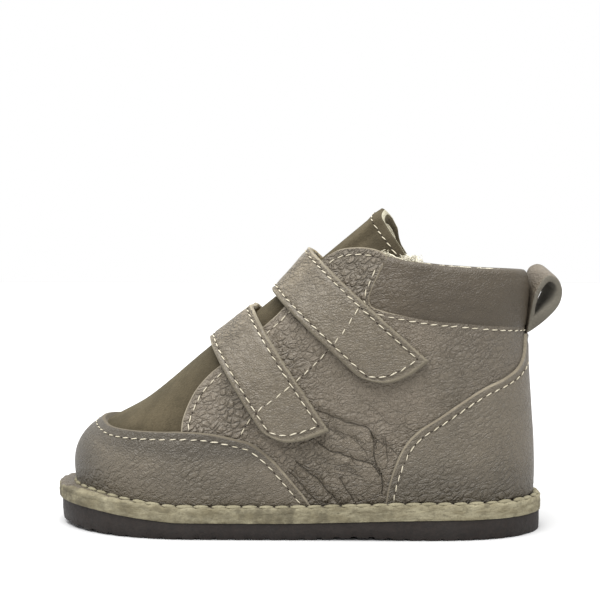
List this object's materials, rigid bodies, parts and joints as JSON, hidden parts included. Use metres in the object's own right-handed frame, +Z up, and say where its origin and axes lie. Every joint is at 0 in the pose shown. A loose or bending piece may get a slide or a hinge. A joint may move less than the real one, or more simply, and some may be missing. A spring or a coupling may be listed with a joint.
{
  "type": "fur-lined boot",
  "caption": "Child's left ankle boot with stitch-down leather upper, suede vamp and tongue, hook-and-loop straps, pull loop, fleece lining and flat rubber sole.",
  "frame": {"origin": "On the floor, under the middle of the length and width.", "axes": "-X is the toe and +X the heel, -Y the outer side of this left boot, +Y the inner side, +Z up."},
  "size_m": [0.169, 0.0648, 0.1061],
  "materials": {
    "leather": "tumbled grain, satin, warm grey",
    "suede": "brushed suede, matte, olive brown",
    "rubber": "matte dark brown",
    "board": "raw pale cut edge",
    "fleece": "curly cream wool fleece"
  },
  "bodies": {
    "root": {"outsole": "rubber", "midsole": "board", "insole": "fleece", "upper": "suede", "tongue": "suede", "toe_cap": "leather", "quarter_lateral": "leather", "quarter_medial": "leather", "heel_counter": "leather", "collar": "leather", "strap_lower": "leather", "strap_upper": "leather", "pull_loop": "leather"}
  },
  "joints": []
}
